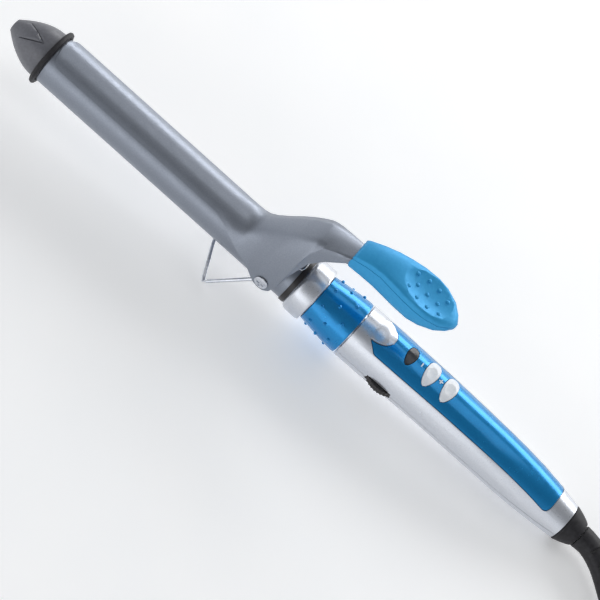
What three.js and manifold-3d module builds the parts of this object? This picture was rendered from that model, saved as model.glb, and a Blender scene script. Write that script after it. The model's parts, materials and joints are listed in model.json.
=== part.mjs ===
// A spring-clip curling iron with a folding wire stand, a swivel cord and a two-pin plug.
// Millimetres. +X runs along the tool towards the cord, +Z is the thumb lever's side.
// Pieces are made with the barrel's axis on X, and the whole tool is then set down on Z = 0.
import * as THREE from "three";
import { mergeVertices } from "three/addons/utils/BufferGeometryUtils.js";
import Module from "manifold-3d";

const wasm = await Module();
wasm.setup();

// ---- driving dimensions ----
const GAP = 0.3;
const BARREL_R = 12.7;
const BARREL_WALL = 0.8;
const BARREL_FRONT = -169.3;
const BARREL_REAR = -2;
const TIP_END = -194.6;
const TIP_SHOULDER = -172.4;
const TIP_R = 12.8;
const HINGE_X = -25;
const CLIP_R = 14.2;
const CLIP_FRONT = -168.6;
const CLIP_HALF_ANGLE = 46;
const CLIP_SHEET = 0.9;
const EAR_Y = 15.7;
const RING_LENGTH = 22.8;
const HANDLE_FRONT = 23.7;
const HANDLE_REAR = 161;
const HANDLE_WALL = 1.8;
const NECK_R = 10.6;
const NECK_FRONT = -16;
const SEAM_Z = -1.8;
const PANEL_DEPTH = 1.2;
const PANEL_FRONT = 32.2;
const PANEL_REAR = 150;
const LENS_X = 51.8;
const LENS_HALF = [2.7, 5.6];
const BUTTON_X = [64.5, 76];
const BUTTON_HALF = [3.6, 7.5];
const DIAL = { x: 49.4, y: -5, r: 11.8, thick: 3.2 };
const TILT = 2.87;
const CORD_D = 6.5;
const HANK = {
  x: 268, y: -9.4, run: 51, meanR: 26.35, turnsPerLayer: 2, layers: 4, pitch: 6.75, rise: 6.6, lift: 1.3,
};
const STAND_WIRE_R = 0.95;
const SPRING_WIRE_R = 0.55;
const SCREW_R = 1.45;
const HINGE_HOLE_R = 1.85;

// ---- materials ----
const finish = (color, roughness, metalness = 0) =>
  new THREE.MeshStandardMaterial({ color, roughness, metalness });
const titanium = finish("#a9b1bd", 0.38, 0.9);
const tipPlastic = finish("#7d8088", 0.5);
const silver = finish("#dfe1e6", 0.32, 0.25);
const panelBlue = finish("#0a7ac0", 0.3);
const gripBlue = finish("#3d9fda", 0.6);
const blackRubber = finish("#29282b", 0.7);
const blackPlastic = finish("#2c2829", 0.5);
const buttonWhite = finish("#eef1f4", 0.35);
const smoke = finish("#5a5654", 0.12);
const steel = finish("#c9ccd2", 0.22, 1);
const brass = finish("#c9a35a", 0.3, 1);
const aluminium = finish("#b9bcc0", 0.4, 1);
const ceramic = finish("#e8e6df", 0.6);
const boardGreen = finish("#1f6b45", 0.5);
const redGlow = finish("#c8342a", 0.2);

// ---- solids ----
function faceOut(geometry) {
  const bare = geometry.index ? geometry.toNonIndexed() : geometry.clone();
  for (const name of Object.keys(bare.attributes)) if (name !== "position") bare.deleteAttribute(name);
  const merged = mergeVertices(bare, 1e-4);
  const position = merged.attributes.position;
  const index = merged.index.array;
  const kept = [];
  let volume = 0;
  const corner = [0, 1, 2].map(() => new THREE.Vector3());
  for (let i = 0; i < index.length; i += 3) {
    const [a, b, c] = [index[i], index[i + 1], index[i + 2]];
    if (a === b || b === c || a === c) continue;
    kept.push(a, b, c);
    [a, b, c].forEach((v, k) => corner[k].fromBufferAttribute(position, v));
    volume += corner[0].dot(corner[1].clone().cross(corner[2]));
  }
  if (volume < 0) kept.reverse();
  merged.setIndex(kept);
  return merged;
}

function solid(geometry) {
  const closed = faceOut(geometry);
  return new wasm.Manifold(
    new wasm.Mesh({
      numProp: 3,
      vertProperties: new Float32Array(closed.attributes.position.array),
      triVerts: new Uint32Array(closed.index.array),
    }),
  );
}

function geometryOf(made) {
  const mesh = made.getMesh();
  const geometry = new THREE.BufferGeometry();
  geometry.setAttribute("position", new THREE.BufferAttribute(mesh.vertProperties, 3));
  geometry.setIndex(new THREE.BufferAttribute(mesh.triVerts, 1));
  return geometry;
}

const cut = (from, ...tools) => tools.reduce((left, tool) => left.subtract(tool), from);
const join = (first, ...rest) => rest.reduce((sum, next) => sum.add(next), first);

// A closed profile of [x, radius] pairs, spun about the barrel's axis or a shifted one.
function spun(profile, sides = 32, shift = [0, 0, 0]) {
  const points = profile.map(([x, r]) => new THREE.Vector2(r, x));
  const turned = new THREE.LatheGeometry(points, sides);
  turned.rotateZ(-Math.PI / 2).translate(...shift);
  return turned;
}
const ringProfile = (x0, x1, inner, outer) => [[x0, inner], [x1, inner], [x1, outer], [x0, outer], [x0, inner]];

function rodX(x0, x1, r, y, z, sides = 16) {
  const rod = new THREE.CylinderGeometry(r, r, x1 - x0, sides).rotateZ(-Math.PI / 2);
  return rod.translate((x0 + x1) / 2, y, z);
}
function rodY(y0, y1, r, x, z, sides = 16) {
  return new THREE.CylinderGeometry(r, r, y1 - y0, sides).translate(x, (y0 + y1) / 2, z);
}
function rodZ(z0, z1, r, x, y, sides = 16) {
  const rod = new THREE.CylinderGeometry(r, r, z1 - z0, sides).rotateX(Math.PI / 2);
  return rod.translate(x, y, (z0 + z1) / 2);
}
function block(x0, x1, y0, y1, z0, z1) {
  const box = new THREE.BoxGeometry(x1 - x0, y1 - y0, z1 - z0);
  return box.translate((x0 + x1) / 2, (y0 + y1) / 2, (z0 + z1) / 2);
}
function ball(r, x, y, z, across = 8, up = 5) {
  return new THREE.SphereGeometry(r, across, up).translate(x, y, z);
}

// Equal loops of points joined into a closed skin, with a fan on each end.
function loft(loops) {
  const count = loops[0].length;
  const points = loops.flat();
  const faces = [];
  const at = (i, j) => i * count + (j % count);
  for (let i = 0; i + 1 < loops.length; i++)
    for (let j = 0; j < count; j++) {
      faces.push(at(i, j), at(i + 1, j), at(i + 1, j + 1));
      faces.push(at(i, j), at(i + 1, j + 1), at(i, j + 1));
    }
  for (const [i, forward] of [[0, false], [loops.length - 1, true]]) {
    const centre = loops[i].reduce((sum, p) => sum.add(p), new THREE.Vector3()).divideScalar(count);
    const hub = points.push(centre) - 1;
    for (let j = 0; j < count; j++)
      faces.push(...(forward ? [hub, at(i, j + 1), at(i, j)] : [hub, at(i, j), at(i, j + 1)]));
  }
  const geometry = new THREE.BufferGeometry().setFromPoints(points);
  geometry.setIndex(faces);
  return geometry;
}

// A sheet of even thickness on a grid of outer points.
function sheet(grid, thickness) {
  const rows = grid.length;
  const cols = grid[0].length;
  const outer = grid.flat();
  const inner = [];
  for (let i = 0; i < rows; i++)
    for (let j = 0; j < cols; j++) {
      const along = grid[Math.min(i + 1, rows - 1)][j].clone().sub(grid[Math.max(i - 1, 0)][j]);
      const across = grid[i][Math.min(j + 1, cols - 1)].clone().sub(grid[i][Math.max(j - 1, 0)]);
      inner.push(grid[i][j].clone().addScaledVector(along.cross(across).normalize(), -thickness));
    }
  const faces = [];
  const quad = (a, b, c, d) => faces.push(a, b, c, a, c, d);
  const o = (i, j) => i * cols + j;
  const n = (i, j) => rows * cols + i * cols + j;
  for (let i = 0; i + 1 < rows; i++)
    for (let j = 0; j + 1 < cols; j++) {
      quad(o(i, j), o(i + 1, j), o(i + 1, j + 1), o(i, j + 1));
      quad(n(i, j), n(i, j + 1), n(i + 1, j + 1), n(i + 1, j));
    }
  for (let i = 0; i + 1 < rows; i++) {
    quad(o(i, 0), n(i, 0), n(i + 1, 0), o(i + 1, 0));
    quad(o(i, cols - 1), o(i + 1, cols - 1), n(i + 1, cols - 1), n(i, cols - 1));
  }
  for (let j = 0; j + 1 < cols; j++) {
    quad(o(0, j), o(0, j + 1), n(0, j + 1), n(0, j));
    quad(o(rows - 1, j), n(rows - 1, j), n(rows - 1, j + 1), o(rows - 1, j + 1));
  }
  const geometry = new THREE.BufferGeometry().setFromPoints([...outer, ...inner]);
  geometry.setIndex(faces);
  return geometry;
}

// A round wire along a curve.
function wire(points, r, steps, sides = 8, tension = 0.5) {
  const path = new THREE.CatmullRomCurve3(points, false, "catmullrom", tension);
  const section = new THREE.Shape();
  for (let k = 0; k < sides; k++) {
    const angle = (2 * Math.PI * k) / sides;
    const [x, y] = [r * Math.cos(angle), r * Math.sin(angle)];
    if (k) section.lineTo(x, y);
    else section.moveTo(x, y);
  }
  section.closePath();
  return new THREE.ExtrudeGeometry(section, { steps, extrudePath: path, bevelEnabled: false });
}

// An egg in plan, its narrow end towards the dial's side, as a prism.
function egg(x, halfX, halfY, z0, z1, grow = 0) {
  const shape = new THREE.Shape();
  const [a, b] = [halfX + grow, halfY + grow];
  shape.moveTo(x, -b);
  shape.bezierCurveTo(x + a * 0.7, -b * 0.98, x + a * 1.12, -b * 0.2, x + a, b * 0.3);
  shape.bezierCurveTo(x + a * 0.92, b * 0.78, x + a * 0.5, b, x, b);
  shape.bezierCurveTo(x - a * 0.5, b, x - a * 0.92, b * 0.78, x - a, b * 0.3);
  shape.bezierCurveTo(x - a * 1.12, -b * 0.2, x - a * 0.7, -b * 0.98, x, -b);
  const prism = new THREE.ExtrudeGeometry(shape, { depth: z1 - z0, bevelEnabled: false, curveSegments: 5 });
  return prism.translate(0, 0, z0);
}

// ---- the handle's shape ----
// x, radius and height of the centre.
const handleStations = [
  [HANDLE_FRONT, 15.2, 0], [40, 15.1, 0.2], [60, 14.7, 0.6], [79, 14.35, 0.9], [103, 14.1, 0.5],
  [122, 13.7, 0], [137, 12.9, -0.7], [151, 11.5, -1.5], [HANDLE_REAR, 10.1, -2.3],
];
const handleCurve = new THREE.CatmullRomCurve3(handleStations.map((s) => new THREE.Vector3(...s)));
const handleCache = handleCurve.getPoints(64);
function handleAt(x) {
  const next = handleCache.findIndex((p) => p.x >= x);
  const k = next < 1 ? 1 : next;
  const [a, b] = [handleCache[k - 1], handleCache[k]];
  const t = THREE.MathUtils.clamp((x - a.x) / (b.x - a.x), 0, 1);
  return { r: a.y + (b.y - a.y) * t, z: a.z + (b.z - a.z) * t };
}
function handleBody(inset, x0, x1, steps = 11, sides = 32) {
  const loops = [];
  for (let i = 0; i <= steps; i++) {
    const x = x0 + ((x1 - x0) * i) / steps;
    const { r, z } = handleAt(x);
    const loop = [];
    for (let k = 0; k < sides; k++) {
      const angle = (2 * Math.PI * (k + 0.5)) / sides;
      loop.push(new THREE.Vector3(x, (r - inset) * Math.sin(angle), z + (r - inset) * Math.cos(angle)));
    }
    loops.push(loop);
  }
  return solid(loft(loops));
}

const tool = new THREE.Group();
function add(name, shape, material) {
  const geometry = shape.isBufferGeometry ? faceOut(shape) : geometryOf(shape);
  const mesh = new THREE.Mesh(geometry, material);
  mesh.name = name;
  tool.add(mesh);
}

// ---- barrel and heater ----
function makeBarrel() {
  const tube = solid(spun(ringProfile(BARREL_FRONT, BARREL_REAR, BARREL_R - BARREL_WALL, BARREL_R), 36));
  add("barrel_tube", cut(tube, solid(rodY(-20, 20, 1.9, HINGE_X, 0, 12))), titanium);

  const nose = new THREE.QuadraticBezierCurve(
    new THREE.Vector2(-194.4, 3.4), new THREE.Vector2(-183, 12.7), new THREE.Vector2(-173.8, TIP_R));
  const curve = nose.getPoints(7).map((p) => [p.x, p.y]);
  const spigot = [[TIP_SHOULDER, TIP_R], [TIP_SHOULDER, 12.35], [BARREL_FRONT - GAP, 12.35],
    [BARREL_FRONT - GAP, 11.6], [-158, 11.6], [-158, 9.4], [-174, 9.4], [-184, 0]];
  add("cool_tip", spun([[TIP_END, 0], [TIP_END, 2.7], ...curve, ...spigot], 28), tipPlastic);

  const section = [];
  for (let k = 0; k <= 8; k++) {
    const angle = (2 * Math.PI * k) / 8;
    section.push([-170.95 + 1.42 * Math.cos(angle), 14.2 + 1.42 * Math.sin(angle)]);
  }
  add("tip_ring", spun(section, 28), blackRubber);

  const core = solid(rodX(-150, -42, 11.5, 0, 0, 28));
  const upper = core.intersect(solid(block(-160, -30, -15, 15, 1.6, 15)));
  const lower = core.intersect(solid(block(-160, -30, -15, 15, -15, -1.6)));
  add("heat_shoe_upper", upper, aluminium);
  add("heat_shoe_lower", lower, aluminium);
  add("heater_plate", block(-148, -44, -7, 7, -1.2, 1.2), ceramic);
  add("temperature_sensor", rodX(-41, -35, 1.6, 4, 5, 10), ceramic);
  add("thermal_fuse", rodX(-14, -4, 2.2, 0, 5, 12), steel);
}

// ---- the hinge under the clip ----
function makeScrew(name, side) {
  const head = [
    [EAR_Y + 0.5, SCREW_R], [EAR_Y + 0.5, 3.7], [EAR_Y + 1, 3.5], [EAR_Y + 1.5, 2.4], [EAR_Y + 1.6, 0],
  ];
  const turned = spun([[7, 0], [7, SCREW_R], ...head], 20);
  turned.rotateZ(side > 0 ? Math.PI / 2 : -Math.PI / 2).translate(HINGE_X, 0, 0);
  const [slotFloor, past] = [side * (EAR_Y + 0.9), side * (EAR_Y + 3)].sort((m, n) => m - n);
  const slots = [[2.1, 0.4], [0.4, 2.1]].map(([a, b]) =>
    solid(block(HINGE_X - a, HINGE_X + a, slotFloor, past, -b, b)));
  add(name, cut(solid(turned), ...slots), steel);
}
function makeHinge() {
  const bar = solid(block(HINGE_X - 4, HINGE_X + 4, -11, 11, -3, 3));
  const bores = [[-12, -6], [6, 12]].map(([y0, y1]) => solid(rodY(y0, y1, 1.75, HINGE_X, 0, 12)));
  add("hinge_bar", cut(bar, ...bores), steel);
  makeScrew("hinge_screw_left", 1);
  makeScrew("hinge_screw_right", -1);
}

// ---- clip and lever arm, one pressed sheet ----
// x, then the edge, middle and fold of half a section as [y, z], and the height of its crown.
const spoonAt = (degrees, share) => {
  const angle = THREE.MathUtils.degToRad(degrees * share);
  return [CLIP_R * Math.sin(angle), CLIP_R * Math.cos(angle)];
};
const spoonSection = (x, degrees) =>
  [x, spoonAt(degrees, 1), spoonAt(degrees, 0.68), spoonAt(degrees, 0.34), CLIP_R];
function clipSections() {
  const nose = 5;
  const front = [0, 0.08, 0.22, 0.42, 0.68, 1].map((t) =>
    spoonSection(CLIP_FRONT + nose * t, Math.max(CLIP_HALF_ANGLE * Math.sqrt(1 - (1 - t) ** 2), 9)));
  const long = [-140, -110, -80, -62].map((x) => spoonSection(x, CLIP_HALF_ANGLE));
  return [
    ...front, ...long,
    spoonSection(-52, 62),
    [-46.5, [13.6, 4.1], [10.4, 9.9], [5.4, 13.4], 14.4],
    [-42.7, [14.1, 2.2], [10.2, 11.4], [5.7, 16.8], 18.2],
    [-36, [14.9, 0.6], [11.8, 11.8], [6.8, 23.6], 25.2],
    [-31, [EAR_Y, -2.6], [EAR_Y, 7], [8, 29.2], 31],
    [-28, [EAR_Y, -4.8], [EAR_Y, 7], [8.6, 32.3], 34.2],
    [HINGE_X, [EAR_Y, -5.5], [EAR_Y, 7], [9.1, 35.2], 37],
    [-22, [EAR_Y, -4.8], [EAR_Y, 8], [9.4, 37.9], 39.6],
    [-19.6, [EAR_Y, -2.2], [EAR_Y, 9], [9.5, 39.9], 41.4],
    [-18.4, [EAR_Y, 4], [EAR_Y - 0.4, 12], [9.4, 40.8], 42.2],
    [-17.3, [13.8, 16], [12.2, 27.5], [9.2, 41.6], 43],
    [-14.4, [9.9, 27.9], [9.5, 35], [8.8, 42.8], 44.3],
    [-9.6, [8.3, 34.9], [8.3, 40], [7.6, 44.7], 46],
    [-2, [6.2, 42.3], [6.3, 44.6], [5.8, 47.2], 48.2],
    [8, [5, 45.8], [5, 47.4], [4.8, 49.4], 50.2],
    [20, [5, 49.4], [5, 50.4], [4.8, 51.9], 52.6],
  ];
}
function makeClip() {
  const grid = clipSections().map(([x, edge, middle, fold, crown]) => {
    const half = [edge, middle, fold].map(([y, z]) => new THREE.Vector3(x, -y, z));
    const far = half.map((p) => new THREE.Vector3(x, -p.y, p.z)).reverse();
    const across = [...half, new THREE.Vector3(x, 0, crown), ...far];
    return new THREE.CatmullRomCurve3(across, false, "centripetal").getPoints(12);
  });
  const holes = solid(rodY(-20, 20, 1.8, HINGE_X, 0, 16));
  add("clip_shell", cut(solid(sheet(grid, CLIP_SHEET)), holes), titanium);
}

// ---- thumb grip: two soft shells around the end of the arm ----
// x, half width, height of the split, rise of the crown, height of the underside.
const gripStations = [
  [-1.6, 6.4, 48.9, 2.6, 41.3], [-0.4, 7, 49.5, 3.2, 40.9], [6, 7.8, 52.6, 3.8, 42],
  [13.5, 8.9, 55.2, 4, 43.4], [20, 10.1, 56, 4.3, 44.4], [27, 11.2, 56.5, 4.2, 45.1],
  [35, 11.6, 56.7, 4.1, 45.7], [41, 10.9, 56.5, 3.8, 47.2],
  [48, 8.4, 55.8, 3.1, 49.5], [52.5, 4.6, 55.2, 1.9, 50.9], [55, 1.2, 54.4, 0.8, 52.4],
];
const DISH = { x: 35.6, z: 64.2, rx: 21.5, ry: 13.6, rz: 6.4, pitch: 4 };
function dishSolid() {
  const dish = new THREE.SphereGeometry(1, 28, 16).scale(DISH.rx, DISH.ry, DISH.rz);
  return solid(dish.rotateY(THREE.MathUtils.degToRad(DISH.pitch)).translate(DISH.x, 0, DISH.z));
}
// A low mound, half sunk in the dish's floor.
function bump(p) {
  return solid(new THREE.SphereGeometry(1.15, 8, 5).scale(1, 1, 0.66).translate(p.x, p.y, p.z));
}
function bumpAt(along, across) {
  const depth = DISH.rz * Math.sqrt(1 - (along / DISH.rx) ** 2 - (across / DISH.ry) ** 2);
  const point = new THREE.Vector3(along, across, -depth);
  point.applyAxisAngle(new THREE.Vector3(0, 1, 0), THREE.MathUtils.degToRad(DISH.pitch));
  return point.add(new THREE.Vector3(DISH.x, 0, DISH.z));
}
function gripBumps() {
  const pitch = 6.35;
  const rows = [[-1.5, -4.4], [-0.5, -6.1], [0.5, -6.1], [1.5, -4.4], [-1, 0], [0, 0], [1, 0],
    [-1.5, 4.4], [-0.5, 6.1], [0.5, 6.1], [1.5, 4.4]];
  return rows.map(([step, across]) => bumpAt(step * pitch, across));
}
function makeGrip() {
  const upper = loft(gripStations.map(([x, half, split, rise]) => {
    const loop = [];
    for (let k = 0; k <= 12; k++) {
      const angle = (Math.PI * k) / 12;
      loop.push(new THREE.Vector3(x, -half * Math.cos(angle), split + 0.15 + rise * Math.sin(angle) ** 0.6));
    }
    return loop;
  }));
  add("thumb_grip_upper", join(cut(solid(upper), dishSolid()), ...gripBumps().map(bump)), gripBlue);

  const lower = loft(gripStations.map(([x, half, split, , under]) => {
    const top = split - 0.15;
    const deep = top - under;
    const edge = [[1, 0], [1.03, 0.25], [1.02, 0.55], [0.94, 0.8], [0.72, 0.96], [0.35, 1]];
    const near = edge.map(([a, d]) => new THREE.Vector3(x, -half * a, top - deep * d));
    return [...near, ...near.map((p) => new THREE.Vector3(x, -p.y, p.z)).reverse()];
  }));
  const pocket = new THREE.Shape([[-4, 41.9], [-2, 42], [8, 45.4], [20.6, 49], [20.6, 70], [-4, 70]]
    .map((p) => new THREE.Vector2(...p)));
  const prism = new THREE.ExtrudeGeometry(pocket, { depth: 13.2, bevelEnabled: false });
  prism.rotateX(Math.PI / 2).translate(0, 6.6, 0);
  const beside = [-1, 1].map((side) => solid(block(9, 30, side * 7.5 - 2.1, side * 7.5 + 2.1, 30, 80)));
  add("thumb_grip_lower", cut(solid(lower), cut(solid(prism), ...beside)), gripBlue);
}

// ---- spring, stand ----
function makeSpring() {
  const points = [];
  const coil = { x: -27, z: 20.6, r: 4, turns: 2, pitch: 1.6 };
  const helix = (side) => {
    const list = [];
    const steps = coil.turns * 10 + 3;
    for (let k = 0; k <= steps; k++) {
      const angle = (2 * Math.PI * k) / 10;
      const y = side * (6 - (coil.pitch * k) / 10);
      list.push(new THREE.Vector3(coil.x + coil.r * Math.sin(angle), y, coil.z - coil.r * Math.cos(angle)));
    }
    return list;
  };
  const leg = (side) => [new THREE.Vector3(-14.6, side * 5.2, 14.4), new THREE.Vector3(-19, side * 6, 14.6)];
  points.push(new THREE.Vector3(-24, -1.6, 27), ...helix(-1).reverse());
  const bridge = [-3.6, 3.6].map((y) => new THREE.Vector3(-14, y, 14.6));
  points.push(...leg(-1).reverse(), ...bridge);
  points.push(...leg(1), ...helix(1), new THREE.Vector3(-24, 1.6, 27.6));
  add("clip_spring", wire(points, SPRING_WIRE_R, 84, 5), steel);
}
function makeStand() {
  const half = [[HINGE_X - 1.3, 13.72, -1.9], [-29, 13.9, -5.6], [-43.4, 21, -20.2], [-45.3, 22.2, -22],
    [-46.6, 21.6, -22], [-51.4, 12, -19.4], [-54.8, 5, -17.4]];
  const near = half.map(([x, y, z]) => new THREE.Vector3(x, -y, z));
  const far = half.map((p) => new THREE.Vector3(...p)).reverse();
  const loop = solid(wire([...near, new THREE.Vector3(-55.8, 0, -16.8), ...far], STAND_WIRE_R, 44, 8));
  const eyes = [-1, 1].map((side) => {
    const [inner, outer] = [side * 13.1, side * 14.6].sort((m, n) => m - n);
    return solid(rodY(inner, outer, 3, HINGE_X, 0, 16));
  });
  add("stand_wire", cut(join(loop, ...eyes), solid(rodY(-20, 20, HINGE_HOLE_R, HINGE_X, 0, 12))), steel);
}

// ---- collar, nose and grip ring ----
function makeFront() {
  add("heat_collar", spun(ringProfile(-13.9, -11.1, BARREL_R + 0.2, 13.4), 36), blackPlastic);
  const bore = BARREL_R + 0.2;
  const shoulder = [
    [-10.8, bore], [-10.8, 13.5], [-10.2, 14.3], [-9.2, 14.8], [-7.6, 15.15], [-5, 15.2], [-1.4, 15.1],
    [-0.5, 14.7], [-0.5, bore], [-10.8, bore],
  ];
  add("nose_sleeve", spun(shoulder, 36), silver);
  const ringSection = [
    [0, 11], [0, 12.6], [0.4, 12.9], [7, 13.7], [15, 14.7], [21.5, 15.1], [RING_LENGTH, 14.9],
    [RING_LENGTH, 11], [0, 11],
  ];
  const ring = solid(spun(ringSection, 32));
  const dots = [];
  for (const [x, r, turn] of [[4.3, 13.45, 0], [10.6, 14.2, 0.5], [16.9, 14.85, 0]])
    for (let k = 0; k < 8; k++) {
      const angle = (Math.PI / 4) * (k + turn);
      dots.push(solid(ball(0.95, x, r * Math.sin(angle), r * Math.cos(angle), 6, 4)));
    }
  add("grip_ring", join(ring, ...dots), gripBlue);
}

// ---- handle shells ----
function panelPrism(grow) {
  const [front, rear] = [PANEL_FRONT - grow, PANEL_REAR + grow];
  const [wide, narrow] = [10.9 + grow, 9.3 + grow];
  const shape = new THREE.Shape();
  const horn = [PANEL_FRONT - 3.5 * grow, 7.6 - grow];
  shape.moveTo(horn[0], -horn[1]);
  shape.lineTo(front + 4.6, -wide + 0.5);
  shape.quadraticCurveTo(front + 5.4, -wide, front + 7, -wide);
  shape.lineTo(rear - 3.4, -narrow);
  shape.quadraticCurveTo(rear, -narrow, rear, -narrow + 3.4);
  shape.lineTo(rear, narrow - 3.4);
  shape.quadraticCurveTo(rear, narrow, rear - 3.4, narrow);
  shape.lineTo(front + 7, wide);
  shape.quadraticCurveTo(front + 5.4, wide, front + 4.6, wide - 0.5);
  shape.lineTo(...horn);
  const tip = 41.8 - grow;
  const bend = [front + 6.6 - grow, 7.4 - grow];
  shape.bezierCurveTo(...bend, tip, 4.4, tip, 0);
  shape.bezierCurveTo(tip, -4.4, bend[0], -bend[1], horn[0], -horn[1]);
  const prism = new THREE.ExtrudeGeometry(shape, { depth: 14, bevelEnabled: false, curveSegments: 6 });
  return solid(prism.translate(0, 0, 4));
}
function screwPost(x, z0, z1, bore) {
  return cut(solid(rodZ(z0, z1, 2.9, x, 0, 14)), solid(rodZ(z0 - 1, z1 - 2, bore, x, 0, 12)));
}
const SCREW_X = [30, 134];
function makeHandle() {
  const outer = handleBody(0, HANDLE_FRONT, HANDLE_REAR);
  const hollow = handleBody(HANDLE_WALL, HANDLE_FRONT + 2, HANDLE_REAR - 3, 7, 20);
  const neck = solid(rodX(NECK_FRONT, HANDLE_FRONT + 0.5, NECK_R, 0, 0, 24));
  const neckBore = solid(rodX(NECK_FRONT - 1, HANDLE_FRONT + 3, 9, 0, 0, 20));
  const rear = handleAt(HANDLE_REAR);
  const rearBore = solid(rodX(HANDLE_REAR - 6, HANDLE_REAR + 2, 5, 0, rear.z, 20));
  const whole = cut(join(outer, neck), hollow, neckBore, rearBore);
  const slot = solid(rodZ(SEAM_Z - 1.95, SEAM_Z + 1.95, DIAL.r + 0.5, DIAL.x, DIAL.y, 32));
  const above = solid(block(-30, 200, -30, 30, SEAM_Z + 0.12, 40));
  const below = solid(block(-30, 200, -30, 30, -40, SEAM_Z - 0.12));

  const recessFloor = handleBody(PANEL_DEPTH + GAP, 26, 158);
  const recess = panelPrism(GAP).subtract(recessFloor);
  const openings = [
    solid(egg(LENS_X, ...LENS_HALF, 4, 20, 0.3)),
    ...BUTTON_X.map((x) => solid(egg(x, ...BUTTON_HALF, 4, 20, 0.3))),
  ];
  const almond = new THREE.SphereGeometry(1, 16, 10).scale(6.6, 8.6, 3.4).translate(34.6, 0, 12.75);
  const boss = solid(almond).subtract(panelPrism(GAP)).subtract(recessFloor);
  const posts = SCREW_X.map((x) => screwPost(x, SEAM_Z + 0.3, handleAt(x).z + handleAt(x).r - 1.6, 1.4));
  const upper = cut(join(whole.intersect(above), boss), recess, slot, ...openings);
  const trimmed = posts.map((post) => post.subtract(panelPrism(GAP).subtract(recessFloor)));
  add("handle_upper_shell", join(upper, ...trimmed), silver);

  const belly = (x) => handleAt(x).z - handleAt(x).r;
  const sockets = SCREW_X.map((x) => solid(rodZ(belly(x) + 1.4, SEAM_Z - 0.3, 2.9, x, 0, 14)));
  const ways = SCREW_X.flatMap((x) => [
    solid(rodZ(-40, 0, 1.7, x, 0, 12)),
    solid(rodZ(-40, belly(x) + 4, 2.6, x, 0, 12)),
  ]);
  add("handle_lower_shell", cut(join(whole.intersect(below), ...sockets), slot, ...ways), silver);

  const skin = handleBody(0, 26, 158).subtract(handleBody(PANEL_DEPTH, 26, 158));
  add("control_panel", cut(skin.intersect(panelPrism(0)), ...openings), panelBlue);

  const lensSkin = handleBody(-0.15, 40, 62, 3).subtract(handleBody(2.2, 39, 63, 3));
  add("indicator_lens", lensSkin.intersect(solid(egg(LENS_X, ...LENS_HALF, 4, 20))), smoke);
  SCREW_X.forEach((x, k) => {
    const z = belly(x) + 3.7;
    const section = [[0, z - 1.6], [2.3, z - 1.6], [2.3, z + 0.15], [1.1, z + 0.15], [1.1, 7], [0, 7]];
    const turned = new THREE.LatheGeometry(section.map((p) => new THREE.Vector2(...p)), 14);
    add(`housing_screw_${k ? "rear" : "front"}`, turned.rotateX(Math.PI / 2).translate(x, 0, 0), steel);
  });
}

// ---- controls and electronics ----
const BOARD_Z = 3.8;
const ON_BOARD = BOARD_Z + 0.2;
function makeControls() {
  BUTTON_X.forEach((x, k) => {
    const { r, z } = handleAt(x);
    const cap = handleBody(-0.55, x - 8, x + 8, 2).subtract(handleBody(2.6, x - 9, x + 9, 2));
    const dish = new THREE.SphereGeometry(1, 20, 12).scale(2.6, 6.2, 0.9).translate(x, 0, z + r + 0.75);
    const oval = solid(egg(x, ...BUTTON_HALF, 4, 20));
    const stem = solid(block(x - 1.2, x + 1.2, -1.4, 1.4, BOARD_Z + 4.9, z + r - 2.4));
    add(`power_${k ? "off" : "on"}_button`, join(cut(cap.intersect(oval), solid(dish)), stem), buttonWhite);
    add(`${k ? "off" : "on"}_switch`, block(x - 3, x + 3, -3, 3, ON_BOARD, BOARD_Z + 4), blackPlastic);
  });
  const [dialLow, dialHigh] = [SEAM_Z - DIAL.thick / 2, SEAM_Z + DIAL.thick / 2];
  const ridges = [];
  for (let k = 0; k < 40; k++) {
    const angle = (2 * Math.PI * k) / 40;
    const ridge = block(DIAL.r - 0.7, DIAL.r + 0.1, -0.4, 0.4, dialLow, dialHigh);
    ridges.push(solid(ridge.rotateZ(angle).translate(DIAL.x, DIAL.y, 0)));
  }
  const disc = solid(rodZ(dialLow, dialHigh, DIAL.r - 0.2, DIAL.x, DIAL.y, 40));
  const shaft = solid(rodZ(-6.5, SEAM_Z, 1.8, DIAL.x, DIAL.y, 12));
  add("temperature_dial", join(disc, shaft, ...ridges), blackPlastic);
  const pot = solid(block(DIAL.x - 5, DIAL.x + 5, DIAL.y - 3, DIAL.y + 7, -7.6, -4));
  add("potentiometer", cut(pot, solid(rodZ(-8, 0, 2.1, DIAL.x, DIAL.y, 12))), blackPlastic);
  const board = solid(block(44, 127, -9, 9, BOARD_Z - 1.6, BOARD_Z));
  add("circuit_board", board, boardGreen);
  add("indicator_led", rodZ(ON_BOARD, BOARD_Z + 7, 1.5, LENS_X, 0, 12), redGlow);
  add("triac", join(solid(block(92, 102, -2.2, 2.2, ON_BOARD, BOARD_Z + 6)),
    solid(block(91, 103, 2, 3.2, BOARD_Z + 1, BOARD_Z + 7.4))), blackPlastic);
  add("capacitor", rodZ(ON_BOARD, BOARD_Z + 7.4, 3.6, 112, 0, 16), aluminium);
}

// ---- cord swivel ----
function makeSwivel() {
  const z = handleAt(HANDLE_REAR).z;
  const bell = [
    [142, 0], [142, 3], [155.2, 3], [155.2, 6.4], [157.6, 6.4], [157.6, 4.6], [HANDLE_REAR + 0.4, 4.6],
    [HANDLE_REAR + 0.4, 10.1], [HANDLE_REAR + 1.2, 10.1], [HANDLE_REAR + 5, 8.9], [169, 7.7], [170.6, 6.8],
    [170.6, 0],
  ];
  add("swivel_bush", spun(bell, 24, [0, 0, z]), blackRubber);
  [[144, "live"], [149.5, "neutral"]].forEach(([x, name]) => {
    add(`slip_ring_${name}`, spun(ringProfile(x, x + 3, 3.2, 4.3), 20, [0, 0, z]), brass);
    add(`contact_brush_${name}`, block(x + 0.4, x + 2.6, -1.2, 1.2, z + 4.6, z + 7.6), brass);
  });
}

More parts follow.
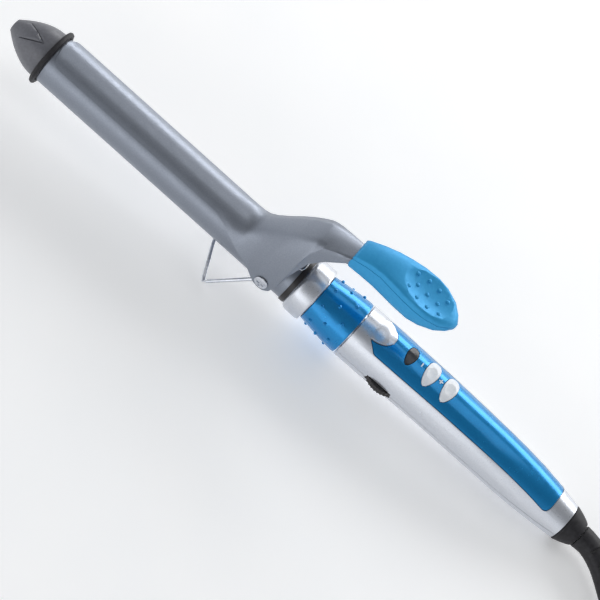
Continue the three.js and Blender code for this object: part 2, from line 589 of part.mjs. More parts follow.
makeBarrel();
makeHinge();
makeClip();
makeGrip();
makeSpring();
makeStand();
makeFront();
makeHandle();
makeControls();
makeSwivel();

// The tool stands on its wire stand and the rear of its handle, tip up.
// The middle of its base is the origin.
tool.rotation.y = THREE.MathUtils.degToRad(TILT);
const box = new THREE.Box3().setFromObject(tool, true);
tool.position.set(-(box.min.x + box.max.x) / 2, 0, -box.min.z);
tool.updateMatrixWorld(true);

// ---- cord, laid on the same surface ----
const lying = new THREE.Group();
function lay(name, made, material) {
  const mesh = new THREE.Mesh(geometryOf(made), material);
  mesh.name = name;
  lying.add(mesh);
}
const at = (...p) => new THREE.Vector3(...p);
const OUTER_TURN = HANK.meanR + (HANK.pitch * HANK.turnsPerLayer) / 2;
const INNER_TURN = HANK.meanR - (HANK.pitch * HANK.turnsPerLayer) / 2;
const HANK_TOP = HANK.lift + CORD_D + (HANK.layers - 1) * HANK.rise;

const RELIEF_ROUTE = [
  at(183.2, 0, 9.65), at(190, -0.4, 9.3), at(199, -4.8, 8.8), at(208.5, -12.6, 7.7), at(218.9, -22.6, 6.4),
];
const LEAD_ROUTE = [
  at(219.3, -22.95, 6.35), at(226.5, -29.2, 5.6), at(235, -35, 4.9), at(244.5, -39, 4.6),
  at(254, -41.4, 4.55), at(268, -42.5, 4.55),
];

// A round piece whose radius changes along a route.
function tapered(route, radii, sides = 16) {
  const path = new THREE.CatmullRomCurve3(route, false, "centripetal");
  const steps = radii.length - 1;
  const frames = path.computeFrenetFrames(steps, false);
  const loops = radii.map((r, i) => {
    const middle = path.getPointAt(i / steps);
    const loop = [];
    for (let k = 0; k < sides; k++) {
      const angle = (2 * Math.PI * k) / sides;
      const out = frames.normals[i].clone().multiplyScalar(r * Math.cos(angle));
      loop.push(middle.clone().add(out).addScaledVector(frames.binormals[i], r * Math.sin(angle)));
    }
    return loop;
  });
  return solid(loft(loops));
}
function makeRelief() {
  const radii = [];
  for (let i = 0; i <= 12; i++) radii.push(6.4 - (2.1 * i) / 12);
  const body = tapered(RELIEF_ROUTE, radii, 16);
  const path = new THREE.CatmullRomCurve3(RELIEF_ROUTE, false, "centripetal");
  const cuts = [];
  for (let k = 0; k < 8; k++) {
    const t = 0.14 + 0.1 * k;
    const slot = new THREE.BoxGeometry(1.5, 20, 20).translate(0, 0, k % 2 ? 13.6 : -13.6);
    const along = path.getTangentAt(t);
    const turn = new THREE.Quaternion().setFromUnitVectors(at(1, 0, 0), along);
    slot.applyQuaternion(turn).translate(...path.getPointAt(t));
    cuts.push(solid(slot));
  }
  lay("strain_relief", cut(body, ...cuts), blackRubber);
}
// The wound cord's outer shape: an outline with two straight runs and round ends.
function runway(r, low, high) {
  const shape = new THREE.Shape();
  shape.absarc(HANK.x + HANK.run, HANK.y, r, -Math.PI / 2, Math.PI / 2);
  shape.absarc(HANK.x, HANK.y, r, Math.PI / 2, (3 * Math.PI) / 2);
  shape.closePath();
  const prism = new THREE.ExtrudeGeometry(shape, { depth: high - low, bevelEnabled: false, curveSegments: 10 });
  return solid(prism.translate(0, 0, low));
}
function hankSolid(grow) {
  const [low, high] = [HANK.lift - grow, HANK_TOP + grow];
  const edge = 2.4;
  const outer = OUTER_TURN + CORD_D / 2 + grow;
  const body = join(runway(outer, low + edge, high - edge), runway(outer - edge * 0.6, low, high));
  return body.subtract(runway(INNER_TURN - CORD_D / 2 - grow, low - 1, high + 1));
}
const TOP_TURN = HANK_TOP - CORD_D / 2;
const PLUG_Z = HANK_TOP + 8.05;
function tailRoute() {
  const route = [
    at(HANK.x, HANK.y - OUTER_TURN, TOP_TURN),
    at(HANK.x + HANK.run / 2, HANK.y - OUTER_TURN, TOP_TURN + 1.6),
    at(HANK.x + HANK.run, HANK.y - OUTER_TURN + 0.6, TOP_TURN + 5),
  ];
  for (let k = 1; k <= 6; k++) {
    const t = k / 6;
    const angle = -Math.PI / 2 + Math.PI * t;
    const r = OUTER_TURN - 0.6 + (HANK.meanR - OUTER_TURN + 0.6) * t;
    const z = TOP_TURN + 5 + (PLUG_Z - TOP_TURN - 5) * THREE.MathUtils.smoothstep(t, 0, 0.8);
    route.push(at(HANK.x + HANK.run + r * Math.cos(angle), HANK.y + r * Math.sin(angle), z));
  }
  return route;
}
function placedAtPlug(shape) {
  return shape.rotate([0, 0, 180]).translate([HANK.x + HANK.run, HANK.y + HANK.meanR, 0]);
}
const PLUG = { neck: 12, length: 24, half: 12, height: 15.4, blade: 16 };
function makePlug() {
  const neck = loft([[0.9, 4.2, 4.2], [PLUG.neck, 5.4, 5]].map(([x, a, b]) => {
    const loop = [];
    for (let k = 0; k < 16; k++) {
      const angle = (2 * Math.PI * k) / 16;
      loop.push(at(x, a * Math.cos(angle), PLUG_Z + b * Math.sin(angle)));
    }
    return loop;
  }));
  const outline = new THREE.Shape();
  outline.moveTo(PLUG.neck - 1, -5);
  outline.quadraticCurveTo(PLUG.neck + 3, -PLUG.half, PLUG.neck + 9, -PLUG.half);
  outline.lineTo(PLUG.neck + PLUG.length, -PLUG.half);
  outline.lineTo(PLUG.neck + PLUG.length, PLUG.half);
  outline.lineTo(PLUG.neck + 9, PLUG.half);
  outline.quadraticCurveTo(PLUG.neck + 3, PLUG.half, PLUG.neck - 1, 5);
  const bevel = 0.8;
  const body = new THREE.ExtrudeGeometry(outline, {
    depth: PLUG.height - 2 * bevel,
    bevelSize: bevel,
    bevelThickness: bevel,
    bevelSegments: 1,
    curveSegments: 4,
  }).translate(0, 0, PLUG_Z - PLUG.height / 2 + bevel);
  const front = PLUG.neck + PLUG.length + bevel;
  lay("plug_body", placedAtPlug(join(solid(neck), solid(body))), blackPlastic);
  [["live", -1], ["neutral", 1]].forEach(([name, side]) => {
    const y = side * 6.35;
    const strip = block(front + GAP, front + PLUG.blade, y - 0.75, y + 0.75, PLUG_Z - 3.2, PLUG_Z + 3.2);
    const hole = rodY(y - 3, y + 3, 1.5, front + PLUG.blade - 4, PLUG_Z, 10);
    lay(`plug_blade_${name}`, placedAtPlug(cut(solid(strip), solid(hole))), brass);
  });
}
// A strap round one end of the hank, with its flat underside on the table.
function makeTie() {
  const [low, high] = [0, HANK_TOP + 1.15];
  const [near, far] = [HANK.x - OUTER_TURN - 4.55, HANK.x - INNER_TURN + CORD_D / 2 + 1.9];
  const loopAt = (wall, reach) => {
    const [y0, y1] = [HANK.y - reach, HANK.y + reach];
    return solid(block(near + wall, far - wall, y0, y1, low + wall, high - wall));
  };
  lay("cord_tie", loopAt(0, 4).subtract(loopAt(0.85, 5)), blackRubber);
}
function makeCord() {
  const clear = hankSolid(GAP);
  const lead = solid(wire(LEAD_ROUTE, CORD_D / 2, 8, 8));
  const tail = solid(wire(tailRoute(), CORD_D / 2, 14, 8));
  lay("cord_lead", cut(lead, clear), blackRubber);
  lay("cord_coil", hankSolid(0), blackRubber);
  lay("cord_tail", cut(tail, clear), blackRubber);
}
makeRelief();
makeCord();
makePlug();
makeTie();

const part = new THREE.Group();
part.add(tool, lying);
export default part;
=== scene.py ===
# %% [markdown]
# # A curling iron and its finishes
# The maker's model already holds every piece at its true size and place, and this lesson
# gives each one its finish. Blender works in metres here, so 25.4 mm is written 25.4 * MM.
# Nothing is moved: a piece that needs better edges is copied, finished, and stands in for the plain one.

# %% Load the frame
import json
import math
import bpy
from mathutils import Matrix, Vector


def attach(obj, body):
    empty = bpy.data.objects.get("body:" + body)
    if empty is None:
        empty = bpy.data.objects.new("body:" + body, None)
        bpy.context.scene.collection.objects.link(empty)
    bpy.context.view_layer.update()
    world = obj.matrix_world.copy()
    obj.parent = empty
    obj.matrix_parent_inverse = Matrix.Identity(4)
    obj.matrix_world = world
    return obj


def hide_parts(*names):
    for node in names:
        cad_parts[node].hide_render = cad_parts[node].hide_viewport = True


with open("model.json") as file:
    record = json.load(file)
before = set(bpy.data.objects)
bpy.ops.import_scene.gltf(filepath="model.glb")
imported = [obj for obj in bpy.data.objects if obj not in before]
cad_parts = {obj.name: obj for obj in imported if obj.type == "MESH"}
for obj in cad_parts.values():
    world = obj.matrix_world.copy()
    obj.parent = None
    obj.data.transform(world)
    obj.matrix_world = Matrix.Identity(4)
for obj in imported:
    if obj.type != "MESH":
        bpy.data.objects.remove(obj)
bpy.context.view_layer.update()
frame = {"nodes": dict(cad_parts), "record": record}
MM = 0.001
print("pieces in the frame:", len(frame["nodes"]))

# %% [markdown]
# ## The tool's own frame
# The iron stands on its wire stand with its tip raised a little, so its barrel isn't level.
# The swivel's axis runs along the barrel, and the dial's axis is square to it and points up.
# Those two directions and the clip's hinge give a frame in which the barrel is the X axis.

# %% From the tool's millimetres to the room's metres
joints = {joint["name"]: joint for joint in frame["record"]["behaviour"]["joints"]}
ALONG = Vector(joints["cord_turn"]["axis"]).normalized()
UPWARD = Vector(joints["dial_turn"]["axis"]).normalized()
SIDE = UPWARD.cross(ALONG)
HINGE_X = -25.0
ORIGIN = Vector(joints["clip_hinge"]["pos_m"]) - ALONG * HINGE_X * MM


def at(x, y, z):
    """A place on the tool, in millimetres from the blue ring's front on the barrel's axis."""
    return ORIGIN + (ALONG * x + SIDE * y + UPWARD * z) * MM


TOOL = Matrix((ALONG, SIDE, UPWARD)).transposed().to_4x4()
TOOL.translation = ORIGIN
print("the blue ring starts at", [round(v, 4) for v in at(0, 0, 0)])

# %% [markdown]
# ## Camera and light
# A long lens well back keeps the barrel's edges nearly parallel. The camera is rolled, so
# that the tool lies across the frame from top left to bottom right.

# %% Camera
TO_CAMERA = Vector((-0.0315, -0.588, 0.809)).normalized()
ACROSS = Vector((0.0, 0.809, 0.588))
CAMERA_DISTANCE = 1.048
LENS_MM = 131
ROLL_SIDE, ROLL_UP = 0.7446, 0.6676
AIM_X, AIM_ACROSS = -5.3, -6.9

toward = (TOOL.to_3x3() @ TO_CAMERA).normalized()
right = TOOL.to_3x3() @ (Vector((1, 0, 0)) * ROLL_SIDE + ACROSS * ROLL_UP)
right = (right - toward * right.dot(toward)).normalized()
above = toward.cross(right)
aim = at(AIM_X, AIM_ACROSS * ACROSS.y, AIM_ACROSS * ACROSS.z)

camera_data = bpy.data.cameras.new("camera")
camera_data.lens = LENS_MM
camera_data.sensor_width = 36
camera_data.clip_start = 0.05
camera = bpy.data.objects.new("camera", camera_data)
bpy.context.scene.collection.objects.link(camera)
tripod = Matrix((right, above, toward)).transposed().to_4x4()
tripod.translation = aim + toward * CAMERA_DISTANCE
camera.matrix_world = tripod
bpy.context.scene.camera = camera
print("camera at", [round(v, 3) for v in tripod.translation])


# %% [markdown]
# ## Colours and nodes
# Materials and the room's light are made of nodes. One function turns a colour picker's hex
# value into Blender's linear numbers. Another adds a node with its settings and its inputs:
# a value is written into the socket, and another node's output is linked to it.

# %% Colour and node helpers
def srgb(code):
    """A colour picker's hex value as linear red, green, blue and alpha."""
    parts = [int(code[i:i + 2], 16) / 255 for i in (1, 3, 5)]
    return [v / 12.92 if v <= 0.04045 else ((v + 0.055) / 1.055) ** 2.4 for v in parts] + [1.0]


def add(tree, kind, inputs=(), **settings):
    """One node, its settings, and its inputs by name: a socket is linked, a value is set."""
    node = tree.nodes.new(kind)
    for name, value in settings.items():
        setattr(node, name, value)
    for name, value in dict(inputs).items():
        if isinstance(value, bpy.types.NodeSocket):
            tree.links.new(value, node.inputs[name])
        else:
            node.inputs[name].default_value = value
    return node


print("mid grey is", round(srgb("#808080")[0], 3), "in linear light")

# %% [markdown]
# ## Light
# A metal cylinder shows nothing but its surroundings. One wide light behind, a weaker one in
# front, and a room that is pale at the horizon and dim overhead draw the long bright and dark
# bands that make it read as metal. The light overhead is for the paper under the tool.


# %% Lights and room
def softbox(name, place, size, power):
    light = bpy.data.lights.new(name, "AREA")
    light.shape = "RECTANGLE"
    light.size, light.size_y = size
    light.energy = power
    lamp = bpy.data.objects.new(name, light)
    bpy.context.scene.collection.objects.link(lamp)
    lamp.location = place
    lamp.rotation_euler = (Vector(place) - aim).to_track_quat("Z", "Y").to_euler()


softbox("back_light", (0.25, 1.25, 0.62), (2.2, 0.6), 15)
softbox("front_light", (-0.5, -1.4, 0.35), (1.8, 0.8), 3.5)
softbox("floor_light", (0.1, 0.5, 2.2), (1.6, 1.6), 7)
HORIZON, OVERHEAD = 1.05, 0.22
world = bpy.data.worlds.new("room")
bpy.context.scene.world = world
world.use_nodes = True
room = world.node_tree
sky = room.nodes["Background"]
sky.inputs["Color"].default_value = (0.88, 0.90, 0.93, 1)
direction = add(room, "ShaderNodeTexCoord").outputs["Generated"]
height = add(room, "ShaderNodeSeparateXYZ", {"Vector": direction}).outputs["Z"]
fade = add(room, "ShaderNodeMapRange", {"Value": height, "From Min": 0.1, "From Max": 0.75,
                                        "To Min": HORIZON, "To Max": OVERHEAD})
room.links.new(fade.outputs["Result"], sky.inputs["Strength"])
bpy.context.scene.view_settings.view_transform = "Standard"

# %% [markdown]
# ## Finishes
# Every material is built from nodes on Object coordinates, so a grain of 0.4 mm is 0.4 mm
# on every piece. Each one has a colour that wanders a little between two tones. The metals,
# the paint and the larger mouldings have a roughness that wanders too. The sprayed coat and
# most mouldings have a faint bump, which breaks up the highlight as a real surface does.
# A constant goes on the shader's own socket.

# %% Helpers for a finish
def start(name, **sockets):
    """An empty finish: its shader with plain values, and the piece's own coordinates."""
    material = bpy.data.materials.new(name)
    material.use_nodes = True
    tree = material.node_tree
    shader = tree.nodes["Principled BSDF"]
    for socket, value in sockets.items():
        shader.inputs[socket.replace("_", " ")].default_value = value
    place = add(tree, "ShaderNodeTexCoord").outputs["Object"]
    return material, tree, shader, place


def grain(tree, place, size_mm, detail=3.0, roughness=0.55):
    """Soft random specks about size_mm across, from 0 to 1."""
    noise = add(tree, "ShaderNodeTexNoise", {"Vector": place, "Scale": 1000 / size_mm, "Detail": detail,
                                            "Roughness": roughness})
    return noise.outputs["Fac"]


def spread(tree, value, low, high):
    """The specks stretched to run from low to high."""
    return add(tree, "ShaderNodeMapRange", {"Value": value, "From Min": 0.3, "From Max": 0.7, "To Min": low,
                                           "To Max": high}).outputs["Result"]


def two_tone(tree, shader, value, dark, light):
    """A colour that wanders between a dark and a light tone."""
    mix = add(tree, "ShaderNodeMix", {"Factor": value}, data_type="RGBA")
    mix.inputs[6].default_value = srgb(dark)
    mix.inputs[7].default_value = srgb(light)
    tree.links.new(mix.outputs[2], shader.inputs["Base Color"])


def bumped(tree, shader, height, depth_mm, strength):
    """A relief of depth_mm on the surface, for the light only."""
    bump = add(tree, "ShaderNodeBump", {"Height": height, "Distance": depth_mm * MM, "Strength": strength})
    tree.links.new(bump.outputs["Normal"], shader.inputs["Normal"])


# %% Finishes of the hot end
def titanium_coat():
    # Sprayed titanium-coloured ceramic coat on steel: a soft metallic sheen with a very fine grit.
    material, tree, shader, place = start("titanium_coat", Metallic=0.8, Roughness=0.4)
    two_tone(tree, shader, spread(tree, grain(tree, place, 0.6), 0, 1), "#8b919c", "#959ba6")
    tree.links.new(spread(tree, grain(tree, place, 4.0), 0.37, 0.44), shader.inputs["Roughness"])
    bumped(tree, shader, grain(tree, place, 0.35), 0.02, 0.25)
    return material


def tip_nylon():
    # Glass-filled nylon, moulded with a fine spark texture: satin, with soft highlights.
    material, tree, shader, place = start("tip_nylon", Roughness=0.42, IOR=1.53)
    two_tone(tree, shader, spread(tree, grain(tree, place, 1.4), 0, 1), "#64656b", "#6e6f76")
    tree.links.new(spread(tree, grain(tree, place, 3.0), 0.36, 0.46), shader.inputs["Roughness"])
    bumped(tree, shader, grain(tree, place, 0.5), 0.03, 0.35)
    return material


def black_silicone():
    # Moulded silicone rubber: dark, dull, with a faint bloom.
    material, tree, shader, place = start("black_silicone", Roughness=0.55, IOR=1.41)
    two_tone(tree, shader, spread(tree, grain(tree, place, 2.0), 0, 1), "#1b1a1d", "#2c2b2f")
    bumped(tree, shader, grain(tree, place, 0.8), 0.03, 0.3)
    return material


def black_phenolic():
    # Heat-proof black moulding, smoother than the rubber, and it catches thin highlights.
    material, tree, shader, place = start("black_phenolic", Roughness=0.36, IOR=1.5)
    two_tone(tree, shader, spread(tree, grain(tree, place, 1.2), 0, 1), "#1a1718", "#2b2728")
    bumped(tree, shader, grain(tree, place, 0.6), 0.02, 0.25)
    return material


def nickel_plate():
    # Bright nickel on spring steel: nearly a mirror, with small duller specks.
    material, tree, shader, place = start("nickel_plate", Metallic=1.0, Roughness=0.16)
    two_tone(tree, shader, spread(tree, grain(tree, place, 3.0), 0, 1), "#c3c7cf", "#dfe2e8")
    tree.links.new(spread(tree, grain(tree, place, 0.8), 0.11, 0.24), shader.inputs["Roughness"])
    return material


# %% Finishes of the handle
def pearl_paint():
    # Silver lacquer with fine aluminium flakes over ABS: it mirrors the room softly, pale
    # where it faces a light and mid grey where it faces the dark part of the room.
    material, tree, shader, place = start("pearl_paint", Metallic=0.8, Roughness=0.3, Coat_Weight=0.3,
                                          Coat_Roughness=0.1)
    two_tone(tree, shader, spread(tree, grain(tree, place, 0.45, 5.0), 0, 1), "#d0d4dc", "#dcdfe5")
    tree.links.new(spread(tree, grain(tree, place, 0.9), 0.27, 0.34), shader.inputs["Roughness"])
    return material


def blue_gloss():
    # Blue ABS with a fine pearl, moulded glossy: deep where it turns away, bright where it faces light.
    material, tree, shader, place = start("blue_gloss", Metallic=0.55, Roughness=0.28, IOR=1.5,
                                          Coat_Weight=0.3, Coat_Roughness=0.1)
    two_tone(tree, shader, spread(tree, grain(tree, place, 0.7, 5.0), 0, 1), "#0682c4", "#0e8ece")
    tree.links.new(spread(tree, grain(tree, place, 5.0), 0.2, 0.28), shader.inputs["Roughness"])
    return material


def soft_touch_blue():
    # Soft-touch rubber over ABS: a lighter blue with a broad, powdery highlight.
    material, tree, shader, place = start("soft_touch_blue", Metallic=0.3, Roughness=0.42, IOR=1.47)
    two_tone(tree, shader, spread(tree, grain(tree, place, 1.6), 0, 1), "#2a9ad4", "#32a2da")
    tree.links.new(spread(tree, grain(tree, place, 2.5), 0.4, 0.5), shader.inputs["Roughness"])
    bumped(tree, shader, grain(tree, place, 0.45), 0.02, 0.3)
    return material


def white_abs():
    # White ABS from a polished mould: bright, with a slight cool mottle.
    material, tree, shader, place = start("white_abs", Roughness=0.3, IOR=1.54)
    two_tone(tree, shader, spread(tree, grain(tree, place, 2.2), 0, 1), "#e6eaee", "#f6f8fa")
    bumped(tree, shader, grain(tree, place, 0.7), 0.01, 0.2)
    return material


def smoked_acrylic():
    # Smoke-tinted acrylic lens: dark and glossy, so it shows mostly the room.
    material, tree, shader, place = start("smoked_acrylic", Roughness=0.2, IOR=1.49)
    two_tone(tree, shader, spread(tree, grain(tree, place, 3.0), 0, 1), "#26292e", "#3a3c40")
    return material


# %% Finishes of the cord and the inner pieces
def cord_vinyl():
    # Extruded black PVC jacket: satin, with a faint mottle and a slightly uneven skin.
    material, tree, shader, place = start("cord_vinyl", Roughness=0.4, IOR=1.52)
    two_tone(tree, shader, spread(tree, grain(tree, place, 3.0), 0, 1), "#171719", "#262629")
    bumped(tree, shader, grain(tree, place, 0.9), 0.03, 0.3)
    return material


def plain_metal(name, dark, light, rough):
    # Zinc, brass and aluminium, as stamped or cast: mottled, never mirror bright.
    material, tree, shader, place = start(name, Metallic=1.0, Roughness=rough)
    two_tone(tree, shader, spread(tree, grain(tree, place, 1.5), 0, 1), dark, light)
    uneven = spread(tree, grain(tree, place, 0.7), rough - 0.06, rough + 0.08)
    tree.links.new(uneven, shader.inputs["Roughness"])
    return material


def plain_solid(name, dark, light, rough):
    # Ceramic, board and lamp: plain bodies with a slight mottle.
    material, tree, shader, place = start(name, Roughness=rough, IOR=1.5)
    two_tone(tree, shader, spread(tree, grain(tree, place, 1.2), 0, 1), dark, light)
    bumped(tree, shader, grain(tree, place, 0.8), 0.02, 0.2)
    return material


TITANIUM = titanium_coat()
NYLON = tip_nylon()
SILICONE = black_silicone()
PHENOLIC = black_phenolic()
NICKEL = nickel_plate()
PEARL = pearl_paint()
BLUE = blue_gloss()
SOFT_BLUE = soft_touch_blue()
WHITE = white_abs()
SMOKE = smoked_acrylic()
VINYL = cord_vinyl()
ZINC = plain_metal("zinc_plate", "#9a9da3", "#b4b7bc", 0.32)
BRASS = plain_metal("plain_brass", "#a98445", "#cda65c", 0.3)
ALUMINIUM = plain_metal("cast_aluminium", "#9fa1a5", "#bdbfc2", 0.42)
CERAMIC = plain_solid("heater_ceramic", "#d9d6cc", "#eeece5", 0.6)
BOARD = plain_solid("printed_board", "#15563a", "#1f6b4a", 0.45)
RED = plain_solid("lamp_red", "#a82a22", "#cf3a2e", 0.2)
print("finishes:", len(bpy.data.materials))


# %% [markdown]
# ## Floor
# The tool lies on a wide sheet of pale matt paper. The paper glows very faintly, which
# stands for the light that a white room throws back into the shadows.


# %% Floor
def paper_floor():
    # Pale studio paper, matt, with a barely visible mottle.
    material, tree, shader, place = start("paper_floor", Roughness=0.85, Emission_Strength=0.22)
    two_tone(tree, shader, spread(tree, grain(tree, place, 60.0), 0, 1), "#fbfcfd", "#ffffff")
    return material


def only(*objects):
    """Selects these objects and nothing else, with the first one active."""
    bpy.ops.object.select_all(action="DESELECT")
    for thing in objects:
        thing.select_set(True)
    bpy.context.view_layer.objects.active = objects[0]


bpy.ops.object.select_all(action="DESELECT")
bpy.ops.mesh.primitive_plane_add(size=9, location=(0, 0, -0.0004))
floor = bpy.context.active_object
floor.name = "floor"
floor.data.materials.append(paper_floor())
print("floor", tuple(floor.dimensions))

# %% [markdown]
# ## The cord
# A mains flex has one length and one thickness. It leaves the swivel through its sleeve and
# comes down almost to the table within a few centimetres. The spare length is wound for
# storage into an oval hank in line with the tool: four layers of two turns, each turn a
# little more than a cord's width inside or outside the last, with the plug lying on top.
# The tie's band passes under the hank, so the cord is drawn that much above the table.

# %% The route, in millimetres
CORD_D = 6.5
HANK_X, HANK_Y, RUN = 268, -9.4, 51
PITCH, RISE, LIFT = 6.75, 6.6, 1.3
TURNS_PER_LAYER, LAYERS, MEAN_R = 2, 4, 26.35
OUTER_TURN = MEAN_R + PITCH * TURNS_PER_LAYER / 2
INNER_TURN = MEAN_R - PITCH * TURNS_PER_LAYER / 2
TOP_TURN = LIFT + CORD_D / 2 + (LAYERS - 1) * RISE
PLUG_Z = TOP_TURN + CORD_D / 2 + 8.05  # half the plug's height and a small gap
STEPS_ON_RUN, STEPS_ON_END, TAIL_STEPS = 6, 14, 12
CLIMB = 0.3  # the share of a turn in which the cord climbs to the next layer
TAIL_IN, TAIL_UP = 0.6, 5  # how far the tail has come in and up where it leaves the near run

RELIEF = [(183.2, 0, 9.65), (190, -0.4, 9.3), (199, -4.8, 8.8), (208.5, -12.6, 7.7), (218.9, -22.6, 6.4)]
LEAD = [(226.5, -29.2, 5.6), (235, -35, 4.9), (244.5, -39, 4.6), (254, -41.4, 4.55)]


def ease(t):
    """A smooth step from 0 to 1."""
    t = min(max(t, 0.0), 1.0)
    return t * t * (3 - 2 * t)


def around_hank(turn, radius, height):
    """A place on an oval turn: the near run, the far bend, the far run and the near bend."""
    part = (turn % 1) * 4
    leg, gone = int(part), part - int(part)
    if leg == 0:
        return (HANK_X + RUN * gone, HANK_Y - radius, height)
    if leg == 2:
        return (HANK_X + RUN * (1 - gone), HANK_Y + radius, height)
    angle = math.pi * (gone - 0.5) + (math.pi if leg == 3 else 0)
    centre = HANK_X + (RUN if leg == 1 else 0)
    return (centre + radius * math.cos(angle), HANK_Y + radius * math.sin(angle), height)


def hank_turns():
    """All the turns, layer upon layer, each working inwards or outwards."""
    one_turn = []
    for leg, steps in enumerate((STEPS_ON_RUN, STEPS_ON_END) * 2):
        one_turn += [(leg + k / steps) / 4 for k in range(steps)]
    points = []
    for whole in range(LAYERS * TURNS_PER_LAYER):
        layer = whole // TURNS_PER_LAYER
        for share in one_turn:
            gone = whole - layer * TURNS_PER_LAYER + share
            radius = OUTER_TURN - PITCH * gone if layer % 2 == 0 else INNER_TURN + PITCH * gone
            climbed = layer if layer == 0 else layer - 1 + ease(gone / CLIMB)
            points.append(around_hank(share, radius, LIFT + CORD_D / 2 + RISE * climbed))
    return points


def tail_points():
    """From the last turn up and round the far bend to the plug's neck."""
    radius_0, height_0 = OUTER_TURN - TAIL_IN, TOP_TURN + TAIL_UP
    points = [(HANK_X, HANK_Y - OUTER_TURN, TOP_TURN),
              (HANK_X + RUN / 2, HANK_Y - OUTER_TURN, TOP_TURN + 1.6),
              (HANK_X + RUN, HANK_Y - radius_0, height_0)]
    for k in range(1, TAIL_STEPS + 1):
        t = k / TAIL_STEPS
        radius = radius_0 + (MEAN_R - radius_0) * t
        height = height_0 + (PLUG_Z - height_0) * ease(t / 0.8)
        # 0.9999 keeps the last point on the bend, just short of the far run.
        points.append(around_hank(0.25 + 0.25 * t * 0.9999, radius, height))
    return points


route = RELIEF + LEAD + hank_turns() + tail_points()
print("route points:", len(route))

# %% The cord itself
curve = bpy.data.curves.new("power_cord", "CURVE")
curve.dimensions = "3D"
curve.bevel_depth = CORD_D / 2 * MM
curve.bevel_resolution = 4
curve.resolution_u = 3
spline = curve.splines.new("NURBS")
spline.points.add(len(route) - 1)
for point, place in zip(spline.points, route):
    point.co = (*(Vector(place) * MM), 1)
spline.order_u = 4
spline.use_endpoint_u = True
power_cord = bpy.data.objects.new("power_cord", curve)
bpy.context.scene.collection.objects.link(power_cord)
curve.materials.append(VINYL)
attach(power_cord, "cord_swivel")
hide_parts("cord_lead", "cord_coil", "cord_tail")
print("cord drawn with", len(spline.points), "points")

# %% [markdown]
# ## Finishing a piece
# A piece that comes from the maker's model is all loose triangles with knife-sharp edges.
# Real mouldings and pressings have small radii that catch the light. The copy is merged,
# its flat triangles are dissolved into larger faces, a small bevel goes on the sharp edges
# only, and its normals are weighted so that large faces stay flat.


# %% A finished copy of a piece
def finished(node, material, bevel_mm, angle=34):
    """A merged, bevelled and smoothed copy of a node, which stands in for it."""
    source = bpy.data.objects[node]
    piece = source.copy()
    piece.data = source.data.copy()
    piece.name = node + "_finish"
    bpy.context.scene.collection.objects.link(piece)
    piece.data.materials.clear()
    piece.data.materials.append(material)
    only(piece)
    bpy.ops.object.mode_set(mode="EDIT")
    bpy.ops.mesh.select_all(action="SELECT")
    bpy.ops.mesh.remove_doubles(threshold=0.004 * MM)
    bpy.ops.mesh.dissolve_limited(angle_limit=math.radians(1.0))
    bpy.ops.object.mode_set(mode="OBJECT")
    if bevel_mm:
        edge = piece.modifiers.new("edge", "BEVEL")
        edge.width = bevel_mm * MM
        edge.segments = 2
        edge.limit_method = "ANGLE"
        edge.angle_limit = math.radians(angle)
        edge.use_clamp_overlap = True
        bpy.ops.object.modifier_apply(modifier="edge")
    bpy.ops.object.shade_smooth_by_angle(angle=math.radians(angle))
    even = piece.modifiers.new("even", "WEIGHTED_NORMAL")
    even.keep_sharp = True
    bpy.ops.object.modifier_apply(modifier="even")
    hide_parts(node)
    body = next(name for name, nodes in frame["record"]["behaviour"]["bodies"].items() if node in nodes)
    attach(piece, body)
    print(node, "finished:", len(piece.data.polygons), "faces")
    return piece


# %% [markdown]
# ## The hot end
# The barrel is a seamless steel tube and the clip one pressed sheet, both sprayed with the
# same coat. The clip's sheet flows from spoon to lever arm, so its normals are smoothed over
# a wide angle, and only the sheet's cut edge gets a bevel. Wires and the O-ring are round
# already and get none.

# %% Hot end
finished("barrel_tube", TITANIUM, 0.15)
finished("clip_shell", TITANIUM, 0.2, 62)
tip = finished("cool_tip", NYLON, 0.3)
finished("tip_ring", SILICONE, 0)
finished("heat_collar", PHENOLIC, 0.2)
finished("hinge_screw_left", NICKEL, 0.1)
finished("hinge_screw_right", NICKEL, 0.1)
finished("clip_spring", NICKEL, 0, 60)
finished("stand_wire", NICKEL, 0, 60)

# %% [markdown]
# ## Chevrons on the cool tip
# Three shallow V grooves are moulded round the nose, so that it is easy to turn with the
# fingertips. Each arm of a V is cut by a thin blade that stands on the surface and reaches
# a little under it. The blades start as cubes, and Boolean modifiers cut the grooves.

# %% Three chevrons
APEX_X, APEX_R, ARM_X, ARM_R, SPREAD_DEG = -176.6, 12.56, -187.8, 8.15, 34
FIRST_DEG, GROOVE_W, GROOVE_D, BLADE_H = 24, 0.5, 0.3, 4


def on_nose(x, radius, degrees):
    """A place on the nose, by its distance along the tool and its angle from the top."""
    turn = math.radians(degrees)
    return Vector((x, -radius * math.sin(turn), radius * math.cos(turn)))


def groove_blade(centre_deg, side):
    """A thin blade from a chevron's point to the end of one of its arms."""
    apex = on_nose(APEX_X, APEX_R, centre_deg)
    end = on_nose(ARM_X, ARM_R, centre_deg + side * SPREAD_DEG)
    middle = (apex + end) / 2
    run = (end - apex).normalized()
    outward = Vector((0.3, middle.y, middle.z)).normalized()
    outward = (outward - run * outward.dot(run)).normalized()
    thick = outward.cross(run)
    lie = Matrix((run, thick, outward)).transposed().to_4x4()
    lie.translation = middle + outward * (BLADE_H / 2 - GROOVE_D)
    bpy.ops.object.select_all(action="DESELECT")
    bpy.ops.mesh.primitive_cube_add(size=1)
    blade = bpy.context.active_object
    size = Matrix.Diagonal(((end - apex).length + GROOVE_W, GROOVE_W, BLADE_H, 1))
    blade.data.transform(TOOL @ Matrix.Scale(MM, 4) @ lie @ size)
    return blade


